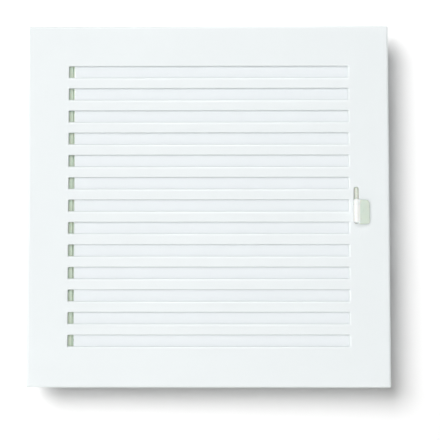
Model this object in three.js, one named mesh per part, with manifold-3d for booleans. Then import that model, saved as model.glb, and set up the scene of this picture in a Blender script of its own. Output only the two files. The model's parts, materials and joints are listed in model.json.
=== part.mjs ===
// Louvred air grille, 250 mm square, for a wall or ceiling opening.
// Thirteen blades hang on pivots behind a slotted plate. A knob in the border slides a link bar up and down,
// and crank caps on the blade ends turn that travel into the blades' swing.
// Millimetres. The front faces -Y, +X is to the right and +Z is up.
// The origin is the plate's centre on the plane of the wall.
import * as THREE from 'three';
import { mergeVertices } from 'three/addons/utils/BufferGeometryUtils.js';
import Module from 'manifold-3d';

const wasm = await Module();
wasm.setup();

// ---- driving dimensions ----
const PLATE = 250;              // outer width and height of the front plate
const FACE_DEPTH = 6;           // face stands this far in front of the wall
const PLATE_SHEET = 1.2;
const COLLAR_SHEET = 1;
const FOLD_RADIUS = 1.7;        // outside radius of the plate's folded edges
const SLOT_COUNT = 13;
const SLOT_PITCH = 15.5;
const SLOT_HEIGHT = 7.8;        // clear height, between the slot's walls
const SLOT_LENGTH = 193.4;
const SLOT_FLARE = 1.2;         // the slot's rim is pressed inwards and widens by this much on each side
const COLLAR_OUTER = 226;       // rear collar, outside width and height
const COLLAR_REAR = 16;         // collar reaches this far behind the wall plane
const COLLAR_FOOT = 8;          // width of the foot that is welded to the plate
const WELD_GAP = 0.1;           // left between welded faces
const PIVOT_Y = -1;             // blade axis
const BLADE_REACH = 13;         // from a blade's axis down to its free edge, when closed
const BLADE_KNEE = { drop: 3.1, lean: 0.3 };  // where a blade has stepped forward, and how far behind its free edge that is
const BLADE_SHEET = 0.7;
const HEM_RADIUS = 1.2;         // rolled top edge of a blade, which is also its journal
const HEM_BORE = 0.6;
const BLADE_CLEARANCE = 0.35;   // closed blade edge to the plate's back
const BLADE_LEFT = -92.8;
const BLADE_RIGHT = 98.1;
const SWING = THREE.MathUtils.degToRad(70);   // blades' travel from closed to open
const TRAVEL = SLOT_PITCH / 2;                // knob's travel from closed to open
const KNOB_X = 102.1;           // centre line of the control slot
const CONTROL_SLOT = { width: 3.4, length: 25.4 };
const KNOB_LENGTH = 16.9;
const RUNNING_GAP = 0.3;

const half = PLATE / 2;
const faceY = -FACE_DEPTH;
const plateBack = faceY + PLATE_SHEET;
const rowZ = (row) => (6 - row) * SLOT_PITCH;
const pivotZ = (row) => rowZ(row) + SLOT_PITCH / 2;
const rows = [...Array(SLOT_COUNT).keys()];
const pad = (row) => String(row + 1).padStart(2, '0');

// a closed blade's free edge nearly meets the plate's back
const bladeEdge = plateBack + BLADE_CLEARANCE - PIVOT_Y;
// the crank arm swings evenly above and below level, so that travel and angle stay in step
const crankRadius = TRAVEL / (2 * Math.sin(SWING / 2));

// ---- solids ----
function solid(geometry) {
  const plain = geometry.index ? geometry.toNonIndexed() : geometry;
  plain.deleteAttribute('normal');
  plain.deleteAttribute('uv');
  const merged = mergeVertices(plain, 1e-5);
  return new wasm.Manifold(new wasm.Mesh({
    numProp: 3,
    vertProperties: merged.attributes.position.array,
    triVerts: merged.index.array,
  }));
}

function geometryOf(body) {
  const mesh = body.getMesh();
  const geometry = new THREE.BufferGeometry();
  geometry.setAttribute('position', new THREE.BufferAttribute(mesh.vertProperties, 3));
  geometry.setIndex(new THREE.BufferAttribute(mesh.triVerts, 1));
  geometry.computeVertexNormals();
  return geometry;
}

const join = (first, ...others) => others.reduce((all, next) => all.add(next), first);
const cut = (first, ...others) => others.reduce((all, next) => all.subtract(next), first);

function box([x0, x1], [y0, y1], [z0, z1]) {
  const geometry = new THREE.BoxGeometry(x1 - x0, y1 - y0, z1 - z0);
  return solid(geometry.translate((x0 + x1) / 2, (y0 + y1) / 2, (z0 + z1) / 2));
}

function rod(axis, radius, [from, to], [a, b], sides = 16) {
  const geometry = new THREE.CylinderGeometry(radius, radius, to - from, sides);
  const middle = (from + to) / 2;
  if (axis === 'x') geometry.rotateZ(-Math.PI / 2).translate(middle, a, b);
  if (axis === 'y') geometry.translate(a, middle, b);
  if (axis === 'z') geometry.rotateX(Math.PI / 2).translate(a, b, middle);
  return solid(geometry);
}

// an outline in (y, z) pushed along X, in (x, z) along Y, or in (x, y) along Z
function extrude(axis, outline, [from, to], curveSegments = 4) {
  const options = { depth: to - from, bevelEnabled: false, curveSegments };
  const geometry = new THREE.ExtrudeGeometry(outline, options);
  const turn = new THREE.Matrix4();
  if (axis === 'x') {
    turn.makeBasis(new THREE.Vector3(0, 1, 0), new THREE.Vector3(0, 0, 1), new THREE.Vector3(1, 0, 0));
    geometry.applyMatrix4(turn).translate(from, 0, 0);
  } else if (axis === 'y') {
    turn.makeBasis(new THREE.Vector3(1, 0, 0), new THREE.Vector3(0, 0, 1), new THREE.Vector3(0, -1, 0));
    geometry.applyMatrix4(turn).translate(0, to, 0);
  } else {
    geometry.translate(0, 0, from);
  }
  return solid(geometry);
}

function polygon(points) {
  return new THREE.Shape(points.map(([a, b]) => new THREE.Vector2(a, b)));
}

function stadium(width, length, centreX, centreZ) {
  const r = width / 2;
  const straight = length / 2 - r;
  const shape = new THREE.Shape();
  shape.absarc(centreX, centreZ + straight, r, 0, Math.PI, false);
  shape.absarc(centreX, centreZ - straight, r, Math.PI, 2 * Math.PI, false);
  return shape;
}

// ---- materials ----
const powderCoat = new THREE.MeshStandardMaterial({ color: 0xf1f5f6, roughness: 0.45, metalness: 0 });
const bladeCoat = new THREE.MeshStandardMaterial({ color: 0xf4f6f6, roughness: 0.4, metalness: 0 });
const creamPlastic = new THREE.MeshStandardMaterial({ color: 0xe4e8d8, roughness: 0.5, metalness: 0 });
const springSteel = new THREE.MeshStandardMaterial({ color: 0x9aa0a4, roughness: 0.35, metalness: 1 });
const zincPlate = new THREE.MeshStandardMaterial({ color: 0xc4c8ca, roughness: 0.4, metalness: 1 });

const grille = new THREE.Group();

function add(name, geometry, material, parent = grille) {
  const mesh = new THREE.Mesh(geometry, material);
  mesh.name = name;
  parent.add(mesh);
  return mesh;
}

// ---- front plate: a shallow tray with folded edges and mitred corners ----
function tray(size, depthFrom, radius) {
  const h = size / 2;
  const section = () => {
    const shape = new THREE.Shape();
    shape.moveTo(0, -h);
    shape.lineTo(0, h);
    shape.lineTo(depthFrom + radius, h);
    shape.absarc(depthFrom + radius, h - radius, radius, Math.PI / 2, Math.PI, false);
    shape.absarc(depthFrom + radius, radius - h, radius, Math.PI, 1.5 * Math.PI, false);
    return shape;
  };
  const acrossZ = extrude('x', section(), [-h, h]);
  const turned = geometryOf(extrude('x', section(), [-h, h])).rotateY(Math.PI / 2);
  return acrossZ.intersect(solid(turned));
}

// a slot's rim is rounded: in steps of the arc, the cut widens towards the face
function slotCutter() {
  const steps = 3;
  const level = (step) => {
    const angle = (step / steps) * Math.PI / 2;
    return { y: plateBack - SLOT_FLARE * Math.sin(angle), wider: SLOT_FLARE * (1 - Math.cos(angle)) };
  };
  const layers = [];
  for (let step = 0; step < steps; step += 1) {
    const back = level(step);
    const front = level(step + 1);
    const geometry = new THREE.BoxGeometry(1, 1, 1);
    const position = geometry.attributes.position;
    for (let i = 0; i < position.count; i += 1) {
      const { y, wider } = position.getY(i) < 0 ? front : back;
      const x = 2 * position.getX(i) * (SLOT_LENGTH / 2 + wider);
      const z = 2 * position.getZ(i) * (SLOT_HEIGHT / 2 + wider);
      position.setXYZ(i, x, y, z);
    }
    layers.push(solid(geometry));
  }
  const behind = box([-SLOT_LENGTH / 2, SLOT_LENGTH / 2], [plateBack, plateBack + 1],
    [-SLOT_HEIGHT / 2, SLOT_HEIGHT / 2]);
  const ahead = box([-SLOT_LENGTH / 2 - SLOT_FLARE, SLOT_LENGTH / 2 + SLOT_FLARE], [faceY - 1, faceY],
    [-SLOT_HEIGHT / 2 - SLOT_FLARE, SLOT_HEIGHT / 2 + SLOT_FLARE]);
  return join(behind, ahead, ...layers);
}

function frontPlate() {
  const shell = tray(PLATE, faceY, FOLD_RADIUS);
  const hollow = tray(PLATE - 2 * PLATE_SHEET, plateBack, FOLD_RADIUS - PLATE_SHEET);
  const inside = [PLATE_SHEET - half, half - PLATE_SHEET];
  const openRear = box(inside, [-1, 1], inside);
  const slot = slotCutter();
  const slots = rows.map((row) => slot.translate([0, 0, rowZ(row)]));
  const controlSlot = extrude('y', stadium(CONTROL_SLOT.width, CONTROL_SLOT.length, KNOB_X, 0),
    [faceY - 1, plateBack + 1], 8);
  return cut(shell, hollow, openRear, ...slots, controlSlot);
}
add('front_plate', geometryOf(frontPlate()), powderCoat);

// ---- rear collar: four folded strips, welded by their feet to the plate ----
const collarHalf = COLLAR_OUTER / 2;
const collarInner = collarHalf - COLLAR_SHEET;
const footY = [plateBack + WELD_GAP, plateBack + WELD_GAP + COLLAR_SHEET];
const webY = [footY[0], COLLAR_REAR];
const buttGap = 0.3;
const SCREW = { x: 103, y: 5.2, hole: 1.7, shank: 1.3, head: 2.8, headHeight: 1.8 };
const CLIP = { z: 60, width: 14, rivetY: 12.2, hole: 1.7, shank: 1.4 };
const sides = { left: -1, right: 1 };
const ends = { bottom: -1, top: 1 };
const span = (a, b) => (a < b ? [a, b] : [b, a]);

for (const [name, s] of Object.entries(sides)) {
  const web = box(span(s * collarInner, s * collarHalf), webY, [-collarHalf, collarHalf]);
  const foot = box(span(s * collarInner, s * (collarHalf + COLLAR_FOOT)), footY, [-collarHalf, collarHalf]);
  const holes = [-CLIP.z, CLIP.z].map((z) => rod('x', CLIP.hole,
    span(s * (collarInner - 1), s * (collarHalf + 1)), [CLIP.rivetY, z], 12));
  add(`collar_${name}`, geometryOf(cut(join(web, foot), ...holes)), powderCoat);
}
for (const [name, s] of Object.entries(ends)) {
  const length = [buttGap - collarInner, collarInner - buttGap];
  const web = box(length, webY, span(s * collarInner, s * collarHalf));
  const foot = box(length, footY, span(s * collarInner, s * (collarHalf + COLLAR_FOOT)));
  const holes = [-SCREW.x, SCREW.x].map((x) => rod('z', SCREW.hole,
    span(s * (collarInner - 1), s * (collarHalf + 1)), [x, SCREW.y], 12));
  add(`collar_${name}`, geometryOf(cut(join(web, foot), ...holes)), powderCoat);
}

// ---- leaf springs that grip the wall opening, each with a rivet ----
const LEAF = { sheet: 0.5, bulge: 5.2, tip: 3.4, rear: 15.2, tabEnd: 9.4, crestY: 4.6, tipY: 1.2 };
function leaf(s) {
  const x = (offset) => s * (collarHalf + WELD_GAP + offset);
  const outline = polygon([
    [x(0), LEAF.rear], [x(0), LEAF.tabEnd], [x(LEAF.bulge - LEAF.sheet), LEAF.crestY],
    [x(LEAF.tip - LEAF.sheet), LEAF.tipY], [x(LEAF.tip), LEAF.tipY - 0.2],
    [x(LEAF.bulge), LEAF.crestY - 0.1], [x(LEAF.bulge), LEAF.crestY + 0.2],
    [x(LEAF.sheet), LEAF.tabEnd + 0.2], [x(LEAF.sheet), LEAF.rear],
  ]);
  const strip = extrude('z', outline, [-CLIP.width / 2, CLIP.width / 2]);
  const hole = rod('x', CLIP.hole, span(x(-1), x(2)), [CLIP.rivetY, 0], 12);
  return geometryOf(cut(strip, hole));
}
function rivet(s) {
  const outside = collarHalf + WELD_GAP + LEAF.sheet + WELD_GAP;
  const inside = collarInner - WELD_GAP;
  const head = rod('x', 2.5, span(s * outside, s * (outside + 1)), [0, 0], 12);
  const shank = rod('x', CLIP.shank, span(s * (inside - 0.5), s * (outside + 0.5)), [0, 0], 12);
  const tail = rod('x', 2.2, span(s * (inside - 1.2), s * inside), [0, 0], 12);
  return geometryOf(join(shank, head, tail));
}
for (const [side, s] of Object.entries(sides)) {
  for (const [end, e] of Object.entries(ends)) {
    add(`spring_clip_${side}_${end}`, leaf(s), springSteel).position.z = e * CLIP.z;
    add(`clip_rivet_${side}_${end}`, rivet(s), zincPlate).position.set(0, CLIP.rivetY, e * CLIP.z);
  }
}

// ---- blades: sheet that steps forward to the slot, with a rolled top edge that runs on as the left journal ----
const BEARING_LEFT = {
  inner: -93.2, outer: -106.5, front: -3.1, rear: 2.6, bore: 4.2,
  rib: { x: [-95.9, -94.2], front: -3.6 },    // stiffening rib along the visible front
};
const BEARING_RIGHT = { inner: 98.4, outer: 100.4, front: -4.5, rear: 2.4 };
const BORE_RADIUS = 1.5;
const STRIP_END = collarInner - RUNNING_GAP;

function blade() {
  const journalEnd = BEARING_LEFT.inner - BEARING_LEFT.bore + RUNNING_GAP + 0.2;
  const tube = cut(
    rod('x', HEM_RADIUS, [journalEnd, BLADE_RIGHT], [0, 0]),
    rod('x', HEM_BORE, [journalEnd - 1, BLADE_RIGHT + 1], [0, 0], 8),
  );
  const front = -HEM_RADIUS;
  const back = front + BLADE_SHEET;
  const knee = bladeEdge + BLADE_KNEE.lean;
  const tail = polygon([
    [front, 0], [front, -0.9], [knee, -BLADE_KNEE.drop], [bladeEdge, -BLADE_REACH],
    [bladeEdge + BLADE_SHEET, -BLADE_REACH], [knee + BLADE_SHEET, -BLADE_KNEE.drop - 0.3],
    [back, -1.2], [back, -0.9], [front + 0.3, 0],
  ]);
  return geometryOf(join(tube, extrude('x', tail, [BLADE_LEFT, BLADE_RIGHT])));
}

// ---- crank caps: spigot in the blade's hem, journal in the strip, arm and pin for the link bar ----
const CRANK = {
  hub: 1.7, arm: [100.7, 102.3], armEnd: 1.3, pin: 0.8, pinEnd: 105, spigot: 0.45, spigotLength: 5,
};
function crankCap() {
  const spigot = rod('x', CRANK.spigot, [BLADE_RIGHT - CRANK.spigotLength, BLADE_RIGHT + 0.5], [0, 0], 8);
  const journal = rod('x', HEM_RADIUS, [BLADE_RIGHT + 0.1, CRANK.arm[0] + 0.5], [0, 0], 12);
  const hub = rod('x', CRANK.hub, CRANK.arm, [0, 0], 16);
  const armEnd = rod('x', CRANK.armEnd, CRANK.arm, [crankRadius, 0], 12);
  const arm = extrude('x', polygon([
    [0, -CRANK.hub], [crankRadius, -CRANK.armEnd], [crankRadius, CRANK.armEnd], [0, CRANK.hub],
  ]), CRANK.arm);
  const pin = rod('x', CRANK.pin, [CRANK.arm[1] - 0.5, CRANK.pinEnd], [crankRadius, 0], 12);
  return geometryOf(join(hub, spigot, journal, arm, armEnd, pin));
}

const bladeGeometry = blade();
const crankGeometry = crankCap();
for (const row of rows) {
  const shaft = new THREE.Group();
  shaft.position.set(0, PIVOT_Y, pivotZ(row));
  grille.add(shaft);
  add(`louvre_blade_${pad(row)}`, bladeGeometry, bladeCoat, shaft);
  add(`crank_cap_${pad(row)}`, crankGeometry, creamPlastic, shaft).rotation.x = -SWING / 2;
}

// ---- bearing strips ----
const END_BLOCK = 4.2;          // height of the blocks that the screws go into
const screwHole = (x, s) => rod('z', SCREW.shank + RUNNING_GAP,
  span(s * (STRIP_END - END_BLOCK - 1), s * (STRIP_END + 1)), [x, SCREW.y], 12);

function leftStrip() {
  const { inner, outer, front, rear, bore, rib } = BEARING_LEFT;
  const bar = box([outer, inner], [front, rear], [-STRIP_END, STRIP_END]);
  const stiffener = box(rib.x, [rib.front, front + 0.5], [-STRIP_END, STRIP_END]);
  const blocks = [-1, 1].map((s) => box([outer, inner], [front, SCREW.y + 3],
    span(s * (STRIP_END - END_BLOCK), s * STRIP_END)));
  const bores = rows.map((row) => rod('x', BORE_RADIUS, [inner - bore, inner + 1], [PIVOT_Y, pivotZ(row)]));
  return cut(join(bar, stiffener, ...blocks), ...bores, screwHole(-SCREW.x, 1), screwHole(-SCREW.x, -1));
}

// C-shaped guides keep the link bar on its line, between two cranks
const LINK = { x: [102.6, 105.4], y: [2, 8.3] };
const GUIDE = { rows: [1, 11], height: 3, wall: 1.5, hook: 0.9, hookWidth: 1 };
function linkGuide(z) {
  const inner = [LINK.y[0] - RUNNING_GAP, LINK.y[1] + RUNNING_GAP];
  const outer = [inner[0] - GUIDE.wall, inner[1] + GUIDE.wall];
  const hookX = [LINK.x[1] + RUNNING_GAP, LINK.x[1] + RUNNING_GAP + GUIDE.hookWidth];
  const zSpan = [z - GUIDE.height / 2, z + GUIDE.height / 2];
  return join(
    box([BEARING_RIGHT.inner, LINK.x[0] - RUNNING_GAP], outer, zSpan),
    box([BEARING_RIGHT.outer, hookX[1]], [outer[0], inner[0]], zSpan),
    box([BEARING_RIGHT.outer, hookX[1]], [inner[1], outer[1]], zSpan),
    box(hookX, [outer[0], inner[0] + GUIDE.hook], zSpan),
    box(hookX, [inner[1] - GUIDE.hook, outer[1]], zSpan),
  );
}

function rightStrip() {
  const { inner, outer, front, rear } = BEARING_RIGHT;
  const bar = box([inner, outer], [front, rear], [-STRIP_END, STRIP_END]);
  const blocks = [-1, 1].map((s) => box([inner, SCREW.x + 4], [front, SCREW.y + 3],
    span(s * (STRIP_END - END_BLOCK), s * STRIP_END)));
  const bores = rows.map((row) => rod('x', BORE_RADIUS, [inner - 1, outer + 1], [PIVOT_Y, pivotZ(row)]));
  const guides = GUIDE.rows.map((row) => linkGuide(rowZ(row)));
  return cut(join(bar, ...blocks, ...guides), ...bores, screwHole(SCREW.x, 1), screwHole(SCREW.x, -1));
}
add('bearing_strip_left', geometryOf(leftStrip()), creamPlastic);
add('bearing_strip_right', geometryOf(rightStrip()), creamPlastic);

function stripScrew(s) {
  const seat = collarHalf + WELD_GAP;
  const head = rod('z', SCREW.head, span(s * seat, s * (seat + SCREW.headHeight)), [0, 0], 16);
  const shank = rod('z', SCREW.shank, span(s * (STRIP_END - END_BLOCK + 0.5), s * (seat + 0.5)), [0, 0], 12);
  const slot = box([-3, 3], [-0.4, 0.4], span(s * (seat + 1.1), s * (seat + 3)));
  return geometryOf(cut(join(shank, head), slot));
}
for (const [side, s] of Object.entries(sides)) {
  for (const [end, e] of Object.entries(ends)) {
    add(`strip_screw_${side}_${end}`, stripScrew(e), zincPlate).position.set(s * SCREW.x, SCREW.y, 0);
  }
}

// ---- link bar: pin slots along its length, and a shoe behind the control slot that holds the knob ----
// the shoe is long enough to close the control slot at both ends of the travel
const slotEnd = CONTROL_SLOT.length / 2;
const SHOE = { y: [-4.5, -3.1], x: [100.9, 107.3], z: [-slotEnd - TRAVEL - 1, slotEnd + 1] };
const WEB = { x: [105.1, 107.3], z: [-14, 8] };
const knobBottom = RUNNING_GAP - slotEnd;
const knobTop = knobBottom + KNOB_LENGTH;
const NECK = { width: 2.8, inset: 2, fit: 0.15 };

function linkBar() {
  const drop = crankRadius * Math.sin(SWING / 2);
  const pinZ = (row) => pivotZ(row) - drop;
  const pinY = [PIVOT_Y + crankRadius * Math.cos(SWING / 2), PIVOT_Y + crankRadius];
  const reach = CRANK.pin + RUNNING_GAP;
  const bar = box(LINK.x, LINK.y, [pinZ(SLOT_COUNT - 1) - 2.4, pinZ(0) + 2.4]);
  const slots = rows.map((row) => box([LINK.x[0] - 1, LINK.x[1] + 3],
    [pinY[0] - reach, pinY[1] + reach], [pinZ(row) - reach, pinZ(row) + reach]));
  const web = box(WEB.x, [SHOE.y[0], LINK.y[1]], WEB.z);
  const shoe = box(SHOE.x, SHOE.y, SHOE.z);
  const socketHalf = NECK.width / 2 + NECK.fit;
  const socket = box([KNOB_X - socketHalf, KNOB_X + socketHalf], [SHOE.y[0] - 1, SHOE.y[1] + 1],
    [knobBottom + NECK.inset - NECK.fit, knobTop - NECK.inset + NECK.fit]);
  return cut(join(bar, web, shoe), ...slots, socket);
}
add('link_bar', geometryOf(linkBar()), creamPlastic);

// ---- slider knob: neck through the control slot, spine, and a thumb tab that slopes to the right ----
const SPINE = { width: 4.3, front: -10, base: -6.3 };
const TAB = { right: 111.1, top: knobTop - 0.8, bottom: knobBottom - 0.6, topRadius: 3.1, bottomRadius: 1.4 };
function sliderKnob() {
  const middle = (knobTop + knobBottom) / 2;
  const spine = extrude('y', stadium(SPINE.width, KNOB_LENGTH, KNOB_X, middle), [SPINE.front, SPINE.base], 8);
  const neck = extrude('y', stadium(NECK.width, KNOB_LENGTH - 0.4, KNOB_X, middle),
    [SPINE.base - 0.5, SHOE.y[0] - NECK.fit], 8);
  const plug = box([KNOB_X - NECK.width / 2, KNOB_X + NECK.width / 2], [SHOE.y[0] - 1, SHOE.y[1] - 0.1],
    [knobBottom + NECK.inset, knobTop - NECK.inset]);
  const outline = new THREE.Shape();
  outline.moveTo(KNOB_X, TAB.bottom);
  outline.lineTo(TAB.right - TAB.bottomRadius, TAB.bottom);
  const [lower, upper] = [TAB.bottomRadius, TAB.topRadius];
  outline.absarc(TAB.right - lower, TAB.bottom + lower, lower, -Math.PI / 2, 0, false);
  outline.absarc(TAB.right - upper, TAB.top - upper, upper, 0, Math.PI / 2, false);
  outline.lineTo(KNOB_X, TAB.top);
  const blank = extrude('y', outline, [-11, -6], 6);
  const slope = extrude('z', polygon([
    [KNOB_X, -9.6], [TAB.right + 1, -8], [TAB.right + 1, -6.5], [KNOB_X, -7.4],
  ]), [TAB.bottom - 1, TAB.top + 1]);
  return join(spine, neck, plug, blank.intersect(slope));
}
add('slider_knob', geometryOf(sliderKnob()), creamPlastic);

export default grille;
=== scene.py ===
"""The looks of the louvred air grille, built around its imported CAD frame.

Shapes are worked out in millimetres and turned into metres when a mesh is made.
The front faces -Y, +X is to the right and +Z is up, as in the frame.
"""
import json
import math

import bmesh
import bpy
from mathutils import Matrix, Vector

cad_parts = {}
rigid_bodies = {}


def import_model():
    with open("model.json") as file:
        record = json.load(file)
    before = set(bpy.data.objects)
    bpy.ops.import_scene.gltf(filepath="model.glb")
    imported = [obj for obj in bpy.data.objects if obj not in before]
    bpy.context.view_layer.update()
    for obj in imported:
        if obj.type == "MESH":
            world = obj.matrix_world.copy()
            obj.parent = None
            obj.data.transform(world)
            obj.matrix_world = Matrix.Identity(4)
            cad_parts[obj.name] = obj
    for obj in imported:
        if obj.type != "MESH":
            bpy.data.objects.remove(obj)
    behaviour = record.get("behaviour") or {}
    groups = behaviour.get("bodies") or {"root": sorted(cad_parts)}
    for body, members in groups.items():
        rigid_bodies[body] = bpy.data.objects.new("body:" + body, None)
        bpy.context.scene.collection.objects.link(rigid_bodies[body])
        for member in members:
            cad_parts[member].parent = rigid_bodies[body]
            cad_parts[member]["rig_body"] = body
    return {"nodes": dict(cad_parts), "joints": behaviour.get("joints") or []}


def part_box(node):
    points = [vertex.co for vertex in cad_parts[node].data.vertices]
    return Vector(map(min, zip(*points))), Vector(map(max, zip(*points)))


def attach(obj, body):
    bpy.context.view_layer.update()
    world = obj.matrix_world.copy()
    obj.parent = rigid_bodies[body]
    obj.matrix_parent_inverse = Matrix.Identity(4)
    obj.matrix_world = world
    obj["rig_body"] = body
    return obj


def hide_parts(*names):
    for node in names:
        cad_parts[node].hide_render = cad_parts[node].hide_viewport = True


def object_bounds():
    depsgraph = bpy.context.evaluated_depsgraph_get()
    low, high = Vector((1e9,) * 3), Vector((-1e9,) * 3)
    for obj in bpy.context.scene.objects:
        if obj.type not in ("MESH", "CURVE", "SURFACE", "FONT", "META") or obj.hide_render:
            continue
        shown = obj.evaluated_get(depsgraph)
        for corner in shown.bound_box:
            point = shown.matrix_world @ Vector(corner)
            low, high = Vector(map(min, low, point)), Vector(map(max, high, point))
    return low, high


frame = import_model()
cad_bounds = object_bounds()

MM = 0.001
TINY = 0.01                     # smallest radius that a ring or a corner may have, in millimetres
ROWS = range(1, 14)
CORNERS = ((1, 1), (-1, 1), (-1, -1), (1, -1))
JOINTS = {joint["name"]: joint for joint in frame["joints"]}


def cad_box(node):
    """A CAD node's lowest and highest corners, in millimetres."""
    low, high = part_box(node)
    return low / MM, high / MM


# ---- mesh helpers ----
def new_object(name, bm):
    """An object from a bmesh that holds millimetres."""
    bmesh.ops.remove_doubles(bm, verts=bm.verts, dist=1e-5)
    bmesh.ops.recalc_face_normals(bm, faces=bm.faces)
    bm.transform(Matrix.Scale(MM, 4))
    mesh = bpy.data.meshes.new(name)
    bm.to_mesh(mesh)
    bm.free()
    made = bpy.data.objects.new(name, mesh)
    bpy.context.scene.collection.objects.link(made)
    return made


def bridge(bm, near, far):
    """Quads between two rings of equal length."""
    for i in range(len(near)):
        j = (i + 1) % len(near)
        bm.faces.new((near[i], near[j], far[j], far[i]))


def loft_into(bm, rings, caps=True):
    """Bridges rings of equal length, and may close the first and the last with a face."""
    loops = [[bm.verts.new(point) for point in ring] for ring in rings]
    for near, far in zip(loops, loops[1:]):
        bridge(bm, near, far)
    if caps:
        bm.faces.new(loops[0])
        bm.faces.new(loops[-1])
    return loops


def loft(rings):
    bm = bmesh.new()
    loft_into(bm, rings)
    return new_object("part", bm)


def place(axis, a, b, along):
    """A point from its two section coordinates and its place along an axis."""
    return {"x": Vector((along, a, b)), "y": Vector((a, along, b)), "z": Vector((a, b, along))}[axis]


def ring_at(axis, outline, along):
    """An outline's points at one place along an axis."""
    return [place(axis, a, b, along) for a, b in outline]


def prism(axis, outline, start, end):
    return loft([ring_at(axis, outline, along) for along in (start, end)])


def block(x, y, z):
    """A cuboid between two places on each axis."""
    return prism("z", [(x[0], y[0]), (x[1], y[0]), (x[1], y[1]), (x[0], y[1])], z[0], z[1])


def arc(centre, radius, start, end, steps):
    """Points of an arc, angles in degrees."""
    angles = [math.radians(start + (end - start) * i / steps) for i in range(steps + 1)]
    return [(centre[0] + radius * math.cos(t), centre[1] + radius * math.sin(t)) for t in angles]


def turns(*span):
    """Angles in radians, from a range in degrees."""
    return [math.radians(angle) for angle in range(*span)]


def turned(axis, profile, centre, sides=32):
    """A solid of revolution: profile is a list of (place along the axis, radius)."""
    return loft([ring_at(axis, arc(centre, max(radius, TINY), 0, 360, sides)[:-1], along)
                 for along, radius in profile])


def drilled(axis, radius, start, end, centre):
    """A cylinder, to cut a hole or to stand as a boss."""
    return turned(axis, [(start, radius), (end, radius)], centre, 24)


def rounded(centre, half_x, half_z, radius, steps):
    """A rectangle with round corners, anticlockwise from the right side of its upper right corner."""
    radius = max(radius, TINY)
    points = []
    for corner, (sx, sz) in enumerate(CORNERS):
        middle = (centre[0] + sx * (half_x - radius), centre[1] + sz * (half_z - radius))
        points += arc(middle, radius, corner * 90, corner * 90 + 90, steps)
    return points


def leaf_line(points, bend, steps=6):
    """A line through points with each corner rounded."""
    line = [Vector(points[0])]
    for before, at, after in zip(points, points[1:], points[2:]):
        before, at, after = Vector(before), Vector(at), Vector(after)
        start = at + (before - at).normalized() * bend
        end = at + (after - at).normalized() * bend
        for i in range(steps + 1):
            t = i / steps
            line.append(start * (1 - t) ** 2 + at * 2 * t * (1 - t) + end * t * t)
    return line + [Vector(points[-1])]


def apply_modifiers(made):
    bpy.context.view_layer.update()
    graph = bpy.context.evaluated_depsgraph_get()
    mesh = bpy.data.meshes.new_from_object(made.evaluated_get(graph))
    made.modifiers.clear()
    made.data = mesh


def combine(made, others, operation):
    """Joins others to a solid (UNION) or cuts them away (DIFFERENCE)."""
    group = bpy.data.collections.new("operands")
    bpy.context.scene.collection.children.link(group)
    for other in others:
        group.objects.link(other)
    step = made.modifiers.new("boolean", "BOOLEAN")
    step.operation = operation
    step.solver = "EXACT"
    step.operand_type = "COLLECTION"
    step.collection = group
    apply_modifiers(made)
    for other in others:
        bpy.data.objects.remove(other)
    bpy.data.collections.remove(group)
    return made


def clean(made):
    """Dissolves what booleans leave: doubled points and edges inside flat faces."""
    bm = bmesh.new()
    bm.from_mesh(made.data)
    bmesh.ops.remove_doubles(bm, verts=bm.verts, dist=2e-6)
    bmesh.ops.dissolve_limit(bm, angle_limit=math.radians(0.5), verts=bm.verts, edges=bm.edges)
    bmesh.ops.recalc_face_normals(bm, faces=bm.faces)
    bm.to_mesh(made.data)
    bm.free()


def soften(made, width, angle=35):
    """Rounds the edges by width, in millimetres, and keeps flat faces flat."""
    bevel = made.modifiers.new("edges", "BEVEL")
    bevel.width = width * MM
    bevel.segments = 2
    bevel.limit_method = "ANGLE"
    bevel.angle_limit = math.radians(angle)
    bevel.miter_outer = "MITER_ARC"


def weigh_normals(made):
    """Large faces decide the normals, so that flat faces beside a rounded edge look flat."""
    weighted = made.modifiers.new("normals", "WEIGHTED_NORMAL")
    weighted.keep_sharp = True
    weighted.weight = 100


def smooth(made, angle=35):
    """Smooth shading, but for edges sharper than angle."""
    made.data.shade_smooth()
    made.data.set_sharp_from_angle(angle=math.radians(angle))
    weigh_normals(made)


def finish_piece(made, name, node, material):
    """Names a piece, paints it and lets it ride in place of its CAD node."""
    made.name = name
    made.data.name = name
    made.data.materials.clear()
    made.data.materials.append(material)
    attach(made, frame["nodes"][node]["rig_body"])
    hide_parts(node)
    return made


# ---- materials ----
NOISE_SPAN = (0.3, 0.7)         # where a noise's values mostly lie


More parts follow.
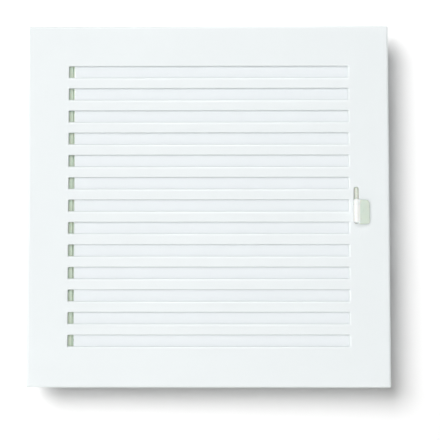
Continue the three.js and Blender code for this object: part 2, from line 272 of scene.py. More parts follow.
class Paint:
    """A principled material with short names for the nodes that vary it."""

    def __init__(self, name, **values):
        self.material = bpy.data.materials.new(name)
        self.material.use_nodes = True
        self.tree = self.material.node_tree
        self.shader = self.tree.nodes["Principled BSDF"]
        self.place = self.add("ShaderNodeTexCoord").outputs["Object"]
        for socket, value in values.items():
            self.shader.inputs[socket.replace("_", " ")].default_value = value

    def add(self, kind, **values):
        node = self.tree.nodes.new(kind)
        for socket, value in values.items():
            node.inputs[socket.replace("_", " ")].default_value = value
        return node

    def link(self, source, target):
        self.tree.links.new(source, target)

    def stretched(self, scale):
        """Object coordinates scaled by axis, in features per metre."""
        mapping = self.add("ShaderNodeMapping", Scale=scale)
        self.link(self.place, mapping.inputs["Vector"])
        return mapping.outputs["Vector"]

    def noise(self, scale, detail=2.0, roughness=0.5, stretch=None):
        node = self.add("ShaderNodeTexNoise", Scale=scale, Detail=detail, Roughness=roughness)
        self.link(self.stretched(stretch) if stretch else self.place, node.inputs["Vector"])
        return node.outputs["Fac"]

    def blend(self, factor, low, high):
        """A colour that goes from low to high with factor."""
        ramp = self.tree.nodes.new("ShaderNodeValToRGB")
        ramp.color_ramp.elements[0].position, ramp.color_ramp.elements[1].position = NOISE_SPAN
        ramp.color_ramp.elements[0].color = (*low, 1)
        ramp.color_ramp.elements[1].color = (*high, 1)
        self.link(factor, ramp.inputs["Fac"])
        return ramp.outputs["Color"]

    def spread(self, factor, low, high, span=NOISE_SPAN):
        """A number that goes from low to high while factor goes over span."""
        node = self.add("ShaderNodeMapRange")
        for socket, value in zip(("From Min", "From Max", "To Min", "To Max"), (*span, low, high)):
            node.inputs[socket].default_value = value
        self.link(factor, node.inputs["Value"])
        return node.outputs["Result"]

    def bump(self, height, depth, below=None):
        """Adds relief of the given depth, in millimetres."""
        node = self.add("ShaderNodeBump", Strength=1.0, Distance=depth * MM)
        self.link(height, node.inputs["Height"])
        if below is not None:
            self.link(below, node.inputs["Normal"])
        self.link(node.outputs["Normal"], self.shader.inputs["Normal"])
        return node.outputs["Normal"]


def shade(colour, factor):
    return tuple(channel * factor for channel in colour)


def coated_steel(name, colour, peel, depth, gloss_range, shine, grain=None):
    """Baked powder coat: a fine orange peel, slightly uneven gloss and faint clouding."""
    paint = Paint(name, IOR=1.5, Specular_IOR_Level=shine)
    cloud = paint.noise(14, detail=3)
    paint.link(paint.blend(cloud, shade(colour, 0.985), colour), paint.shader.inputs["Base Color"])
    gloss = paint.noise(90, detail=3)
    paint.link(paint.spread(gloss, *gloss_range), paint.shader.inputs["Roughness"])
    under = paint.bump(paint.noise(peel, detail=2, stretch=grain), depth)
    paint.bump(paint.noise(peel * 3.1, detail=1), depth * 0.3, below=under)
    return paint.material


def moulded_plastic(name, colour, spine=None):
    """Cream plastic with a little light inside it, faint flow lines and a fine spark texture.

    A spine is a paler colour, a painted highlight for the light on the knob's round spine, and the place on
    the X axis, in millimetres, up to which it goes."""
    paint = Paint(name, Subsurface_Weight=0.12, Subsurface_Scale=0.0015, IOR=1.47)
    flow = paint.noise(30, detail=4, roughness=0.6, stretch=(1, 1, 0.25))
    tone = paint.blend(flow, shade(colour, 0.955), colour)
    # painted highlight: the spine is coloured paler than the tab, for the light its round crown catches
    if spine:
        pale, edge = spine
        parts = paint.add("ShaderNodeSeparateXYZ")
        paint.link(paint.place, parts.inputs["Vector"])
        mix = paint.tree.nodes.new("ShaderNodeMixRGB")
        beyond = paint.spread(parts.outputs["X"], 0, 1, ((edge - 0.1) * MM, (edge + 0.1) * MM))
        paint.link(beyond, mix.inputs["Fac"])
        mix.inputs["Color1"].default_value = (*pale, 1)
        paint.link(tone, mix.inputs["Color2"])
        tone = mix.outputs["Color"]
    paint.link(tone, paint.shader.inputs["Base Color"])
    paint.link(paint.spread(paint.noise(220, detail=3), 0.24, 0.36), paint.shader.inputs["Roughness"])
    paint.bump(paint.noise(1500, detail=2), 0.012)
    return paint.material


def rolled_steel(name, colour):
    """Spring steel: bright, with rolling lines along its length and a few darker patches."""
    paint = Paint(name, Metallic=1.0)
    patches = paint.noise(160, detail=4)
    paint.link(paint.blend(patches, shade(colour, 0.78), colour), paint.shader.inputs["Base Color"])
    lines = paint.noise(1, detail=3, stretch=(900, 60, 4200))
    paint.link(paint.spread(lines, 0.24, 0.42), paint.shader.inputs["Roughness"])
    paint.bump(lines, 0.01)
    return paint.material


def zinc_plated(name, colour):
    """Zinc plating: cells of slightly different tone over a fine grain."""
    paint = Paint(name, Metallic=1.0)
    cells = paint.add("ShaderNodeTexVoronoi", Scale=700)
    paint.link(paint.place, cells.inputs["Vector"])
    tone = paint.tree.nodes.new("ShaderNodeRGBToBW")
    paint.link(cells.outputs["Color"], tone.inputs["Color"])
    cell_tone = paint.blend(tone.outputs["Val"], shade(colour, 0.82), colour)
    paint.link(cell_tone, paint.shader.inputs["Base Color"])
    grain = paint.noise(2600, detail=2)
    paint.link(paint.spread(grain, 0.28, 0.44), paint.shader.inputs["Roughness"])
    paint.bump(grain, 0.006)
    return paint.material


POWDER = coated_steel("powder_coat", (0.785, 0.825, 0.835), peel=620, depth=0.010,
                      gloss_range=(0.28, 0.34), shine=1.0)
# painted shade: the blades' white is set darker than the face's coat, for the shade of the recess behind the
# slots
BLADE = coated_steel("blade_coat", (0.750, 0.787, 0.808), peel=520, depth=0.006,
                     gloss_range=(0.42, 0.52), shine=0.5, grain=(0.25, 1, 1))
CREAM = moulded_plastic("cream_plastic", (0.68, 0.71, 0.63))
# painted shade: a darker, greener copy of the cream plastic for both bearing strips, for the shade they lie
# in behind the slots' left ends
STRIP_PAINTED_SHADE = moulded_plastic("strip_plastic_painted_shade", (0.55, 0.64, 0.52))
# painted highlight on the knob: a paler colour over its spine, up to this place on X in millimetres
SPINE_PAINTED_HIGHLIGHT, SPINE_HIGHLIGHT_EDGE = (0.86, 0.87, 0.85), 104.3
KNOB = moulded_plastic("knob_plastic", (0.62, 0.71, 0.62), spine=(SPINE_PAINTED_HIGHLIGHT, SPINE_HIGHLIGHT_EDGE))
SPRING = rolled_steel("spring_steel", (0.50, 0.52, 0.55))
ZINC = zinc_plated("zinc_plate", (0.72, 0.74, 0.75))

# ---- sizes that several pieces share ----
plate_low, plate_high = cad_box("front_plate")
PLATE_HALF = plate_high.x
FACE_Y = plate_low.y
SHEET = 1.2                     # plate thickness
PLATE_BACK = FACE_Y + SHEET
FOLD = 1.7                      # outside radius of the folded edges
PIVOTS = {row: JOINTS[f"louvre_hinge_{row:02d}"]["pos_m"][2] / MM for row in ROWS}
PIVOT_Y = JOINTS["louvre_hinge_01"]["pos_m"][1] / MM
PITCH = PIVOTS[1] - PIVOTS[2]
SWING = math.radians(JOINTS["louvre_hinge_01"]["range_deg"][1])
TRAVEL = JOINTS["control_slide"]["range_m"][1] / MM
SLOT_HALF = (193.4 / 2, 7.8 / 2)
RIM = 1.2                       # radius of the slots' rolled rims
TIGHT, WIDE = 0.45, 1.5         # share of it on the upper and left sides, and on the others
SLOT_CORNER = 0.5
FIELD_MARGIN = 0.7              # flat cells reach this far past the rims at the slots' ends
CONTROL_X = 102.1
CONTROL_HALF = (3.4 / 2, 25.4 / 2)
CONTROL_RIM = 0.35
CONTROL_MARGIN = (1.2, 2)
PLATE_CORNER = 0.45
HOLE = 1.7                      # radius of the holes for rivets and screws in the collar and the springs
SCREW_X, SCREW_Y = 103, 5.2
RIVET_Y, RIVET_Z = 12.2, 60


def row_z(row):
    return PIVOTS[row] - PITCH / 2


# ---- front plate ----
def uneven(centre, half_slot, offset, tight, wide):
    """A slot's outline grown by offset, times tight above and at the left and times wide elsewhere."""
    shift = offset * (wide - tight) / 2
    growth = offset * (wide + tight) / 2
    return (centre[0] + shift, centre[1] - shift), half_slot[0] + growth, half_slot[1] + growth


def cell_boundary(centre, half_cell, middle, half_slot, radius, steps):
    """Points on a cell's sides, one for each point of the slot's outline inside it."""
    points = []
    for corner, (sx, sz) in enumerate(CORNERS):
        inner = (middle[0] + sx * (half_slot[0] - radius), middle[1] + sz * (half_slot[1] - radius))
        apex = (centre[0] + sx * half_cell[0], centre[1] + sz * half_cell[1])
        on_side, on_end = (apex[0], inner[1]), (inner[0], apex[1])
        start, end = (on_side, on_end) if corner % 2 == 0 else (on_end, on_side)
        for i in range(steps + 1):
            share = 2 * i / steps
            near, far, t = (start, apex, share) if share <= 1 else (apex, end, share - 1)
            points.append((near[0] + (far[0] - near[0]) * t, near[1] + (far[1] - near[1]) * t))
    return points


def rim_profile(radius, lip):
    """How far outside a slot's wall and how deep each step of its rim is, from face to back."""
    front = [(radius * (1 - math.sin(t)), FACE_Y + radius * (1 - math.cos(t))) for t in turns(0, 91, 15)]
    back = [(0, PLATE_BACK + lip * 0.4), (lip * 0.3, PLATE_BACK + lip), (lip * 1.3, PLATE_BACK + lip * 0.9),
            (lip * 2.2, PLATE_BACK)]
    return front + back


def slot_cell(bm, centre, half_slot, corner, half_cell, radius, steps, tight=1.0, wide=1.0):
    """A slot with its rim, and the flat cells round it on the face and on the back."""
    rings = []
    profile = rim_profile(radius, lip=0.18)
    for offset, y in profile:
        outline = rounded(*uneven(centre, half_slot, offset, tight, wide), corner + offset, steps)
        rings.append(ring_at("y", outline, y))
    for place_in, (offset, y) in ((0, profile[0]), (len(rings) + 1, profile[-1])):
        middle, half_x, half_z = uneven(centre, half_slot, offset, tight, wide)
        outline = cell_boundary(centre, half_cell, middle, (half_x, half_z), corner + offset, steps)
        rings.insert(place_in, ring_at("y", outline, y))
    loft_into(bm, rings, caps=False)


def along_side(bm, y, axis, value, low, high):
    """Vertices of the layer at depth y on a straight side, sorted along it."""
    other = 2 - axis
    found = [v for v in bm.verts if abs(v.co.y - y) < 1e-4 and abs(v.co[axis] - value) < 1e-4
             and low - 1e-4 <= v.co[other] <= high + 1e-4]
    return sorted(found, key=lambda v: v.co[other])


def surround(bm, y, outer, field, control):
    """Flat faces between the folded edge, the field of slots and the control slot's cell."""
    fx, fz = field
    c_left, c_right, c_half = control
    top = along_side(bm, y, 2, fz, -fx, fx)
    bottom = along_side(bm, y, 2, -fz, -fx, fx)
    left = along_side(bm, y, 0, -fx, -fz, fz)
    right = along_side(bm, y, 0, fx, -fz, fz)
    over = along_side(bm, y, 2, c_half, c_left, c_right)
    under = along_side(bm, y, 2, -c_half, c_left, c_right)
    near = along_side(bm, y, 0, c_left, -c_half, c_half)
    far = along_side(bm, y, 0, c_right, -c_half, c_half)
    corners = len(outer) // 4
    middle = corners // 2
    tr, tl, bl, br = (outer[k * corners:(k + 1) * corners] for k in range(4))
    bm.faces.new(tr[middle:] + tl[:middle + 1] + top)
    bm.faces.new(tl[middle:] + bl[:middle + 1] + left)
    bm.faces.new(bl[middle:] + br[:middle + 1] + bottom[::-1])
    bm.faces.new([tr[middle], top[-1]] + over)
    bm.faces.new(br[middle:] + tr[:middle + 1] + far[::-1])
    bm.faces.new([br[middle], bottom[-1]] + under)
    bm.faces.new(right + near[::-1])


def front_plate():
    """The face with its slots, and the folded edge round it."""
    bm = bmesh.new()
    field_half = (SLOT_HALF[0] + RIM + FIELD_MARGIN, PITCH * len(ROWS) / 2)
    half_cell = (field_half[0], PITCH / 2)
    for row in ROWS:
        slot_cell(bm, (0, row_z(row)), SLOT_HALF, SLOT_CORNER, half_cell, RIM, 6, TIGHT, WIDE)
    control_cell = tuple(half + margin for half, margin in zip(CONTROL_HALF, CONTROL_MARGIN))
    slot_cell(bm, (CONTROL_X, 0), CONTROL_HALF, CONTROL_HALF[0] - TINY, control_cell, CONTROL_RIM, 12)
    bmesh.ops.remove_doubles(bm, verts=bm.verts, dist=1e-4)
    # the folded edge: out along the face's bend, back to the wall and inside again
    inner = FOLD - SHEET
    section = [(FOLD - a, FACE_Y + FOLD - b) for a, b in arc((0, 0), FOLD, 90, 0, 6)]
    section += [(0, -0.25), (0.08, -0.08), (0.25, 0), (SHEET - 0.2, 0), (SHEET, -0.2)]
    section += [(FOLD - a, FACE_Y + FOLD - b) for a, b in arc((0, 0), inner, 0, 90, 3)]
    rings = []
    for inset, y in section:
        half = PLATE_HALF - inset
        outline = rounded((0, 0), half, half, max(PLATE_CORNER - inset, 0.06), 2)
        rings.append(ring_at("y", outline, y))
    loops = loft_into(bm, rings, caps=False)
    control = (CONTROL_X - control_cell[0], CONTROL_X + control_cell[0], control_cell[1])
    surround(bm, FACE_Y, loops[0], field_half, control)
    surround(bm, PLATE_BACK, loops[-1], field_half, control)
    made = new_object("plate", bm)
    smooth(made, 50)
    return finish_piece(made, "face_plate", "front_plate", POWDER)


# ---- blades ----
HEM = 1.2                       # radius of a blade's rolled top edge
BLADE_SHEET = 0.7
BLADE_LEFT = -92.8              # the tail begins here, and the hem runs on to the left as a journal
KNEE, DROP = 0.3, -3.1          # where the tail has stepped forward: behind its foot, and below the axis


def blade_mesh():
    """A closed blade about its axis: a rolled hem, a step forward to the slot and a round-edged tail."""
    low, high = cad_box("louvre_blade_01")
    edge, foot = low.y - PIVOT_Y, low.z - PIVOTS[1]
    knee, bore, roll_end, bend = edge + KNEE, HEM - BLADE_SHEET, -72, 0.5
    hem = arc((0, 0), HEM, 180, roll_end, 20) + arc((0, 0), bore, roll_end, 180, 14)
    rear_edge = edge + BLADE_SHEET
    rear = [(-bore, -0.4), (-bore, -1.2), (knee + BLADE_SHEET, DROP - 0.3), (rear_edge, foot + 0.3)]
    lip = [(rear_edge - 0.15, foot + 0.06), (rear_edge - 0.35, foot), (edge + 0.15, foot + 0.06)]
    front = [(edge, foot + 0.3), (knee, DROP), (-HEM, -0.9), (-HEM, -0.2)]
    tail = leaf_line(rear, bend, 4) + lip + leaf_line(front, bend, 4)
    bm = bmesh.new()

    def ring(outline, x):
        return [bm.verts.new(point) for point in ring_at("x", outline, x)]

    hem_left, hem_mid, hem_right = (ring(hem, x) for x in (low.x, BLADE_LEFT, high.x))
    tail_mid, tail_right = (ring(tail, x) for x in (BLADE_LEFT, high.x))
    bridge(bm, hem_left, hem_mid)
    bridge(bm, hem_mid + tail_mid, hem_right + tail_right)
    bm.faces.new(hem_left)
    bm.faces.new([hem_mid[0], hem_mid[-1]] + tail_mid)
    bm.faces.new(hem_right + tail_right)
    made = new_object("blade", bm)
    soften(made, 0.1, 60)
    apply_modifiers(made)
    smooth(made, 40)
    return made


def on_every_row(first, kind, node, material, tilt=0.0, weigh=False):
    """Puts a mesh about each blade's axis, as one piece a row that replaces its CAD node."""
    first.data.materials.append(material)
    for row in ROWS:
        made = first
        if row > 1:
            made = bpy.data.objects.new(kind, first.data)
            bpy.context.scene.collection.objects.link(made)
            if weigh:
                weigh_normals(made)
        made.rotation_euler.x = -tilt
        made.location = Vector((0, PIVOT_Y, PIVOTS[row])) * MM
        made.name = f"{kind}_{row:02d}"
        cad_node = f"{node}_{row:02d}"
        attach(made, frame["nodes"][cad_node]["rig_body"])
        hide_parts(cad_node)


# ---- crank caps ----
CRANK_RADIUS = TRAVEL / (2 * math.sin(SWING / 2))
ARM_X = (100.7, 102.3)
HUB, ARM_END = 1.7, 1.3         # radii of the arm's two ends
SPIGOT, PIN = 0.45, 0.8         # radii of the spigot in the blade's hem and of the pin in the link bar
JOURNAL_START, SPIGOT_START, PIN_END = 98.2, 93.1, 104.95


def crank_mesh():
    """A crank cap about the blade's axis, with its arm pointing straight back."""
    lean = math.degrees(math.asin((HUB - ARM_END) / CRANK_RADIUS))
    outline = arc((CRANK_RADIUS, 0), ARM_END, -90 + lean, 90 - lean, 12)
    outline += arc((0, 0), HUB, 90 - lean, 270 + lean, 20)
    arm = prism("x", outline, *ARM_X)
    near, far = ARM_X[0] + 0.3, ARM_X[1] - 0.3
    tip, root = SPIGOT_START + 0.2, JOURNAL_START + 0.3
    journal = turned("x", [(JOURNAL_START, 1.05), (JOURNAL_START + 0.15, HEM), (near, HEM)], (0, 0))
    spigot = turned("x", [(SPIGOT_START, 0.3), (tip, SPIGOT), (root, SPIGOT)], (0, 0), 16)
    flange = turned("x", [(far, 1.2), (ARM_X[1] + 0.2, 1.1), (ARM_X[1] + 0.25, 0.9)], (0, 0))
    pin = turned("x", [(far, PIN), (PIN_END - 0.25, PIN), (PIN_END, 0.6)], (CRANK_RADIUS, 0), 24)
    made = combine(arm, [journal, spigot, flange, pin], "UNION")
    clean(made)
    soften(made, 0.14, 50)
    apply_modifiers(made)
    smooth(made, 40)
    return made


# ---- bearing strips ----
END_BLOCK = 4.2                 # height of the blocks for the screws
BORE, SCREW_BORE = 1.5, 1.6


def both_ends(low, high):
    """The two end spans of a strip, each as high as its screw block."""
    return ((low.z, low.z + END_BLOCK), (high.z - END_BLOCK, high.z))


def bores(x):
    return [drilled("x", BORE, *x, (PIVOT_Y, PIVOTS[row])) for row in ROWS]


def screw_holes(side, low, high):
    centre = (side * SCREW_X, SCREW_Y)
    return [drilled("z", SCREW_BORE, a - 1, b + 1, centre) for a, b in both_ends(low, high)]


def left_strip():
    """Strip with a rib and short grooves on the front, bosses for the bores and pockets on the back."""
    low, high = cad_box("bearing_strip_left")
    front, rear, block_rear = -3.1, 2.6, 8.2
    boss, boss_length, bore_length = 2.3, 5, 4.2
    half_pocket, half_groove = 5.6, 4.4
    slots = [row_z(row) for row in ROWS]
    bar = block((low.x, high.x), (front, rear), (low.z, high.z))
    rib = block((-97.2, -94.2), (low.y, front + 0.5), (low.z, high.z))
    ends = [block((low.x, high.x), (front, block_rear), z) for z in both_ends(low, high)]
    bosses = [drilled("x", boss, high.x - boss_length, high.x, (PIVOT_Y, PIVOTS[row])) for row in ROWS]
    made = combine(bar, [rib, *ends, *bosses], "UNION")
    pocket_x, pocket_y = (low.x + 1.4, high.x - 5.6), (-1.2, rear + 1)
    pockets = [block(pocket_x, pocket_y, (z - half_pocket, z + half_pocket)) for z in slots]
    cuts = bores((high.x - bore_length, high.x + 1)) + screw_holes(-1, low, high) + pockets
    combine(made, cuts, "DIFFERENCE")
    groove_x, groove_y = (-94.1, -93.65), (low.y - 1, front + 0.8)
    grooves = [block(groove_x, groove_y, (z - half_groove, z + half_groove)) for z in slots]
    combine(made, grooves, "DIFFERENCE")
    clean(made)
    soften(made, 0.18)
    smooth(made)
    finish_piece(made, "left_bearing", "bearing_strip_left", STRIP_PAINTED_SHADE)


LINK_X, LINK_Y = (102.6, 105.4), (2.0, 8.3)
RIGHT_BAR = (98.4, 100.4), (-4.5, 2.4)      # the right strip's bar, across and deep


def link_guide(z):
    """A C-shaped guide that holds the link bar on its line."""
    gap, wall, hook, round_off, half_height = 0.3, 1.5, 0.9, 0.3, 1.5
    root = RIGHT_BAR[0][0] + 0.2
    inner = (LINK_Y[0] - gap, LINK_Y[1] + gap)
    outer = (inner[0] - wall, inner[1] + wall)
    back_x = LINK_X[0] - gap
    tip = (LINK_X[1] + gap, LINK_X[1] + gap + 1)
    outline = [(root, outer[0]), (tip[1], outer[0]), (tip[1], inner[0] + round_off),
               (tip[0] + round_off, inner[0] + hook), (tip[0], inner[0] + hook), (tip[0], inner[0]),
               (back_x, inner[0]), (back_x, inner[1]), (tip[0], inner[1]), (tip[0], inner[1] - hook),
               (tip[0] + round_off, inner[1] - hook), (tip[1], inner[1] - round_off), (tip[1], outer[1]),
               (root, outer[1])]
    return prism("z", outline, z - half_height, z + half_height)


def right_strip():
    """A plain bar with the bores, two guides for the link bar and a block at each end for its screw."""
    low, high = cad_box("bearing_strip_right")
    (left, right), (front, rear) = RIGHT_BAR
    block_rear, past_screw = 8.2, 4
    bar = block((left, right), (front, rear), (low.z, high.z))
    ends = [block((left, SCREW_X + past_screw), (front, block_rear), z) for z in both_ends(low, high)]
    guides = [link_guide(row_z(row)) for row in (2, 12)]
    made = combine(bar, ends + guides, "UNION")
    combine(made, bores((left - 1.4, right + 1.6)) + screw_holes(1, low, high), "DIFFERENCE")
    clean(made)
    soften(made, 0.16)
    smooth(made)
    finish_piece(made, "right_bearing", "bearing_strip_right", STRIP_PAINTED_SHADE)


# ---- link bar and knob ----
def link_bar():
    """A bar with a slot for each crank's pin, and a shoe behind the control slot with the knob's socket."""
    low, high = cad_box("link_bar")
    reach = 1.1
    drop = CRANK_RADIUS * math.sin(SWING / 2)
    pin_y = (PIVOT_Y + CRANK_RADIUS * math.cos(SWING / 2) - reach, PIVOT_Y + CRANK_RADIUS + reach)
    shoe_x, shoe_z, shoe_sheet = (100.9, 107.3), (-21.45, 13.7), 1.4
    made = block(LINK_X, LINK_Y, (low.z, high.z))
    web = block((105.1, shoe_x[1]), (low.y, LINK_Y[1]), (-14, 8))
    shoe = block(shoe_x, (low.y, low.y + shoe_sheet), shoe_z)
    combine(made, [web, shoe], "UNION")
    slots = []
    for row in ROWS:
        middle = ((pin_y[0] + pin_y[1]) / 2, PIVOTS[row] - drop)
        outline = rounded(middle, (pin_y[1] - pin_y[0]) / 2, reach, reach - 0.05, 6)
        slots.append(prism("x", outline, LINK_X[0] - 1, LINK_X[1] + 3))
    half_socket = 1.55
    socket = block((CONTROL_X - half_socket, CONTROL_X + half_socket), (low.y - 1, low.y + 3), (-10.55, 2.65))
    combine(made, slots + [socket], "DIFFERENCE")
    # the shoe stands up inside the control slot, so a groove runs down its right side
    groove = block((103.25, 103.9), (low.y - 1, low.y + 0.9), (-20.5, 12.7))
    combine(made, [groove], "DIFFERENCE")
    clean(made)
    soften(made, 0.16)
    smooth(made)
    finish_piece(made, "link", "link_bar", CREAM)


def slider_knob():
    """A rounded spine over the control slot, a thumb tab that slopes to the right, and a neck."""
    low, high = cad_box("slider_knob")
    length, half_width, base, crown = 16.9, 2.15, -6.3, 2.0
    bottom = 0.3 - CONTROL_HALF[1]
    top = bottom + length
    middle, half_length = (CONTROL_X, (bottom + top) / 2), length / 2
    section = [(0.15, base), (0, base - 0.15)]
    section += [(crown * (1 - math.cos(t)), low.y + crown * (1 - math.sin(t))) for t in turns(0, 91, 10)]
    rings = []
    for inset, y in section:
        half = half_width - inset
        rings.append(ring_at("y", rounded(middle, half, half_length - inset, half - TINY, 10), y))
    spine = loft(rings)
    neck = prism("y", rounded(middle, 1.4, half_length - 0.2, 1.38, 8), -6.5, -4.65)
    plug = block((CONTROL_X - 1.4, CONTROL_X + 1.4), (-5, -3.2), (bottom + 2, top - 2))
    tab_top, tab_bottom, right = high.z - 0.8, low.z, high.x
    small, large, heel = 1.4, 3.1, 1.6      # radii of the tab's lower right, upper right and left corners

    def tab_outline(inset):
        points = arc((right - small, tab_bottom + small), small - inset, -90, 0, 6)
        points += arc((right - large, tab_top - large), large - inset, 0, 90, 8)
        points += [(CONTROL_X, tab_top - inset), (CONTROL_X, tab_bottom + heel)]
        return points + arc((CONTROL_X + 2.4, tab_bottom + heel), heel - inset, 200, 262, 4)

    def front(x):
        return -9.5 + 1.5 * ((x - CONTROL_X) / (right - CONTROL_X)) ** 1.3

    def back(x):
        return -7.4 + 0.8 * (x - CONTROL_X) / (right - CONTROL_X)

    # how far inside the outline, on which surface, and how far behind it
    layers = [(0.45, back, 0), (0.12, back, -0.14), (0, back, -0.45), (0, front, 0.5), (0.16, front, 0.16),
              (0.5, front, 0)]
    tab = loft([[Vector((x, surface(x) + depth, z)) for x, z in tab_outline(inset)]
                for inset, surface, depth in layers])
    made = combine(spine, [neck, plug, tab], "UNION")
    smooth(made, 50)
    finish_piece(made, "knob", "slider_knob", KNOB)


# ---- collar ----
WELDS, WELD_OUT = 5, 4.5        # marks on each strip's foot, and their distance from its web


def collar(side, axis, sign):
    """A folded strip: web into the wall, foot on the plate with its weld marks."""
    node = f"collar_{side}"
    low, high = cad_box(node)
    upright = axis == "z"
    wide = 0 if upright else 2
    length = (low.z, high.z) if upright else (low.x, high.x)
    inner, edge = sorted((abs(low[wide]), abs(high[wide])))
    sheet, bend, crook_bend = 1, 1.2, 0.4
    outer, foot_rear = inner + sheet, low.y + sheet
    corner = arc((inner + bend, low.y + bend), bend, 180, 270, 5)
    crook = arc((outer + crook_bend, foot_rear + crook_bend), crook_bend, 270, 180, 4)
    outline = [(inner, high.y)] + corner + [(edge, low.y), (edge, foot_rear)] + crook + [(outer, high.y)]
    through = (sign * (inner - 1), sign * (outer + 1))
    if upright:
        made = prism("z", [(sign * a, b) for a, b in outline], *length)
        holes = [drilled("x", HOLE, *through, (RIVET_Y, z)) for z in (-RIVET_Z, RIVET_Z)]
    else:
        made = prism("x", [(b, sign * a) for a, b in outline], *length)
        holes = [drilled("z", HOLE, *through, (x, SCREW_Y)) for x in (-SCREW_X, SCREW_X)]
    dish = [(foot_rear - 0.22, 1.3), (foot_rear - 0.1, 1.8), (foot_rear + 0.5, 2.2)]
    across, marks = sign * (outer + WELD_OUT), []
    for i in range(WELDS):
        along = length[0] + (length[1] - length[0]) * (i + 0.5) / WELDS
        marks.append(turned("y", dish, (across, along) if upright else (along, across), 24))
    combine(made, holes + marks, "DIFFERENCE")
    clean(made)
    soften(made, 0.12)
    smooth(made)
    finish_piece(made, f"collar_strip_{side}", node, POWDER)


# ---- spring clips, rivets and screws ----
def spring_clip(side, end):
    """A leaf riveted to the collar, which bends outwards and back and has round free corners."""
    node = f"spring_clip_{side}_{end}"
    low, high = cad_box(node)
    sign = -1 if side == "left" else 1
    face, far = sorted((abs(low.x), abs(high.x)))
    reach, sheet, trim = far - face, 0.5, 3
    half_width, middle = (high.z - low.z) / 2, (high.z + low.z) / 2
    line = leaf_line([(sheet / 2, high.y), (sheet / 2, 9.6), (reach - 0.2, 4.5), (3.2, low.y + 0.15)], 1.3)
    sides = []
    for i, point in enumerate(line):
        along = (line[min(i + 1, len(line) - 1)] - line[max(i - 1, 0)]).normalized()
        sides.append((point, Vector((-along.y, along.x)) * sheet / 2))
    outline = [p + n for p, n in sides] + [p - n for p, n in reversed(sides)]
    points = [(sign * (face + min(max(p.x, 0.0), reach)), p.y) for p in outline]
    made = prism("z", points, middle - half_width, middle + half_width)
    hole = drilled("x", HOLE, sign * (face - 1), sign * (face + 2), (RIVET_Y, middle))
    trims = []
    for s in (-1, 1):
        y, z = low.y, middle + s * half_width
        outline = [(y, z)] + [(y + trim - trim * math.sin(t), z - s * (trim - trim * math.cos(t)))
                              for t in turns(0, 91, 15)]
        trims.append(prism("x", outline, *sorted((sign * (face - 1), sign * (face + reach + 1)))))
    combine(made, [hole] + trims, "DIFFERENCE")
    clean(made)
    soften(made, 0.08)
    smooth(made)
    finish_piece(made, f"clip_{side}_{end}", node, SPRING)


def clip_rivet(side, end):
    """A domed head outside, a shank, and a rolled tail inside the collar."""
    node = f"clip_rivet_{side}_{end}"
    low, high = cad_box(node)
    sign = -1 if side == "left" else 1
    tail, head = sorted((abs(low.x), abs(high.x)))
    dome = [(head - 0.62 + 0.6 * math.sin(t), 2.5 * math.cos(t)) for t in turns(0, 90, 12)]
    profile = [(tail, 0.5), (tail + 0.05, 1.5), (tail + 0.35, 2.1), (tail + 0.8, 2.2), (tail + 1.15, 1.9),
               (tail + 1.2, 1.4), (head - 1.0, 1.4), (head - 1.0, 2.35), (head - 0.85, 2.5)]
    profile += dome[1:] + [(head - 0.01, 0.2)]
    centre = ((low.y + high.y) / 2, (low.z + high.z) / 2)
    made = turned("x", [(sign * along, radius) for along, radius in profile], centre, 40)
    smooth(made, 40)
    finish_piece(made, f"rivet_{side}_{end}", node, ZINC)


def strip_screw(side, end):
    """A pan head with a cross recess, and a threaded shank."""
    node = f"strip_screw_{side}_{end}"
    low, high = cad_box(node)
    sign = -1 if end == "bottom" else 1
    tip, top = sorted((abs(low.z), abs(high.z)))
    under, thread_pitch = top - 1.8, 0.45
    profile = [(tip, 0.3), (tip + 0.5, 0.95)]
    for i in range(int((under - tip - 1.2) / thread_pitch)):
        root = tip + 0.6 + i * thread_pitch
        profile += [(root, 1.02), (root + 0.22, 1.3)]
    profile += [(under - 0.5, 1.05), (under, 1.1), (under, 2.65), (under + 0.15, 2.8), (under + 0.7, 2.8)]
    profile += [(under + 0.7 + 1.1 * math.sin(t), 1.7 + 1.1 * math.cos(t)) for t in turns(15, 91, 15)]
    centre = ((low.x + high.x) / 2, (low.y + high.y) / 2)
    made = turned("z", [(sign * along, radius) for along, radius in profile], centre)
    z = sorted((sign * (top - 1.1), sign * (top + 1)))
    long, short = 1.55, 0.32
    cross = [block((centre[0] - a, centre[0] + a), (centre[1] - b, centre[1] + b), z)
             for a, b in ((long, short), (short, long))]
    combine(made, cross, "DIFFERENCE")
    smooth(made, 40)
    finish_piece(made, f"screw_{side}_{end}", node, ZINC)


# ---- stage, light and camera (in metres) ----
WALL_GAP = 0.0004               # between the collar's edge and the wall


def plain(name, colour):
    """A dull paint for the wall and the floor."""
    material = bpy.data.materials.new(name)
    material.use_nodes = True
    shader = material.node_tree.nodes["Principled BSDF"]
    shader.inputs["Base Color"].default_value = (*colour, 1)
    shader.inputs["Roughness"].default_value = 0.9
    shader.inputs["Specular IOR Level"].default_value = 0
    return material


def sheet_of(name, corners, faces, material):
    """A flat piece of the stage."""
    mesh = bpy.data.meshes.new(name)
    mesh.from_pydata(corners, [], faces)
    made = bpy.data.objects.new(name, mesh)
    bpy.context.scene.collection.objects.link(made)
    made.data.materials.append(material)
    return made


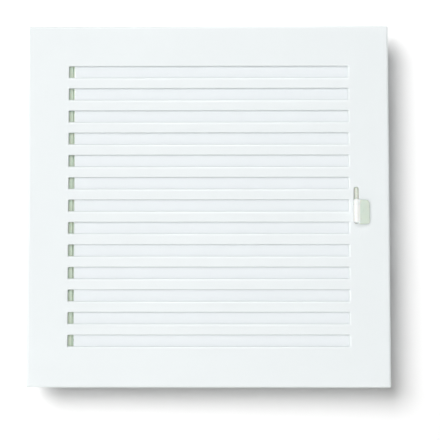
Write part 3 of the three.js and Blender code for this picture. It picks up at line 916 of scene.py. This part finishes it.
def stage():
    """A white wall that the collar rests against, seen from the front only, and a pale floor."""
    wall_y = cad_bounds[1].y + WALL_GAP
    material = plain("wall_white", (0.82, 0.82, 0.82))
    tree = material.node_tree
    behind = tree.nodes.new("ShaderNodeNewGeometry").outputs["Backfacing"]
    mix = tree.nodes.new("ShaderNodeMixShader")
    clear = tree.nodes.new("ShaderNodeBsdfTransparent")
    output = tree.nodes["Material Output"]
    tree.links.new(behind, mix.inputs["Fac"])
    tree.links.new(tree.nodes["Principled BSDF"].outputs["BSDF"], mix.inputs[1])
    tree.links.new(clear.outputs["BSDF"], mix.inputs[2])
    tree.links.new(mix.outputs["Shader"], output.inputs["Surface"])
    hole, half = 0.115, 1.5
    square = ((-1, -1), (1, -1), (1, 1), (-1, 1))
    corners = [(x * size, wall_y, z * size) for size in (hole, half) for x, z in square]
    middle = sheet_of("wall_middle", corners[:4], [(0, 1, 2, 3)], material)
    outer = sheet_of("wall", corners, [(i, i + 4, (i + 1) % 4 + 4, (i + 1) % 4) for i in range(4)], material)
    # light reaches the grille's back through the wall
    for wall in (middle, outer):
        wall.visible_shadow = False
    middle.visible_diffuse = False
    middle.visible_glossy = False
    floor_z, far = -0.6, 4
    ground = [(x * far, y * far, floor_z) for x, y in square]
    sheet_of("floor", ground, [(0, 1, 2, 3)], plain("floor_pale", (0.7, 0.7, 0.69)))
    return middle, outer


def linked(light, objects, state):
    """Lets a light reach only these objects (INCLUDE) or everything else (EXCLUDE)."""
    group = bpy.data.collections.new(light.name + "_receivers")
    for i, each in enumerate(objects):
        group.objects.link(each)
        group.collection_objects[i].light_linking.link_state = state
    light.light_linking.receiver_collection = group


def area_light(name, place_at, size, share):
    """A disk light aimed at the grille, where a white wall would take this share of white from it."""
    light = bpy.data.lights.new(name, "AREA")
    light.shape = "DISK"
    light.size = size
    way = Vector(place_at)
    light.energy = share * math.pi ** 2 * way.length_squared * way.length / abs(way.y)
    made = bpy.data.objects.new(name, light)
    bpy.context.scene.collection.objects.link(made)
    made.visible_camera = False
    made.location = place_at
    made.rotation_euler = way.to_track_quat("Z", "Y").to_euler()
    return made


def lights(walls, plate):
    """Two small lights that glint on upper and left edges, a broad front light, one for the walls' shadow
    and one for the back, which leaves the plate out because its back face would brighten that shadow."""
    linked(area_light("top", (0, -2.7, 2.2), 1.0, 0.20), walls, "EXCLUDE")
    linked(area_light("left", (-2.2, -2.7, 0), 1.0, 0.15), walls, "EXCLUDE")
    front = area_light("front", (-0.6, -4.0, 0.3), 2.6, 0.48)
    front.visible_glossy = False
    linked(front, walls, "EXCLUDE")
    linked(area_light("wall_key", (-0.85, -1.4, 0.82), 1.6, 1.25), walls, "INCLUDE")
    linked(area_light("rear", (0.9, 3.4, 1.6), 2.4, 0.5), [*walls, plate], "EXCLUDE")
    world = bpy.data.worlds.new("studio")
    bpy.context.scene.world = world
    world.use_nodes = True
    background = world.node_tree.nodes["Background"]
    background.inputs["Color"].default_value = (1, 1, 1, 1)
    background.inputs["Strength"].default_value = 0.20


def camera():
    """Nearly square on, a little below the middle."""
    distance, azimuth, elevation, roll = 0.8, math.radians(0.5), math.radians(-3.2), math.radians(-0.02)
    back = Vector((math.sin(azimuth) * math.cos(elevation), -math.cos(azimuth) * math.cos(elevation),
                   math.sin(elevation)))
    data = bpy.data.cameras.new("camera")
    data.lens = 94.1
    data.sensor_width = 36
    data.shift_x, data.shift_y = 0.0264, -0.0323
    made = bpy.data.objects.new("camera", data)
    bpy.context.scene.collection.objects.link(made)
    made.location = back * distance
    made.rotation_mode = "QUATERNION"
    made.rotation_quaternion = back.to_track_quat("Z", "Y")
    made.rotation_quaternion.rotate(Matrix.Rotation(roll, 4, back))
    bpy.context.scene.camera = made
    bpy.context.scene.view_settings.view_transform = "Standard"


plate = front_plate()
on_every_row(blade_mesh(), "blade", "louvre_blade", BLADE, weigh=True)
on_every_row(crank_mesh(), "crank", "crank_cap", CREAM, tilt=SWING / 2)
left_strip()
right_strip()
link_bar()
slider_knob()
for name, axis, sign in (("left", "z", -1), ("right", "z", 1), ("bottom", "x", -1), ("top", "x", 1)):
    collar(name, axis, sign)
for side_name in ("left", "right"):
    for end_name in ("top", "bottom"):
        spring_clip(side_name, end_name)
        clip_rivet(side_name, end_name)
        strip_screw(side_name, end_name)
lights(stage(), plate)
camera()
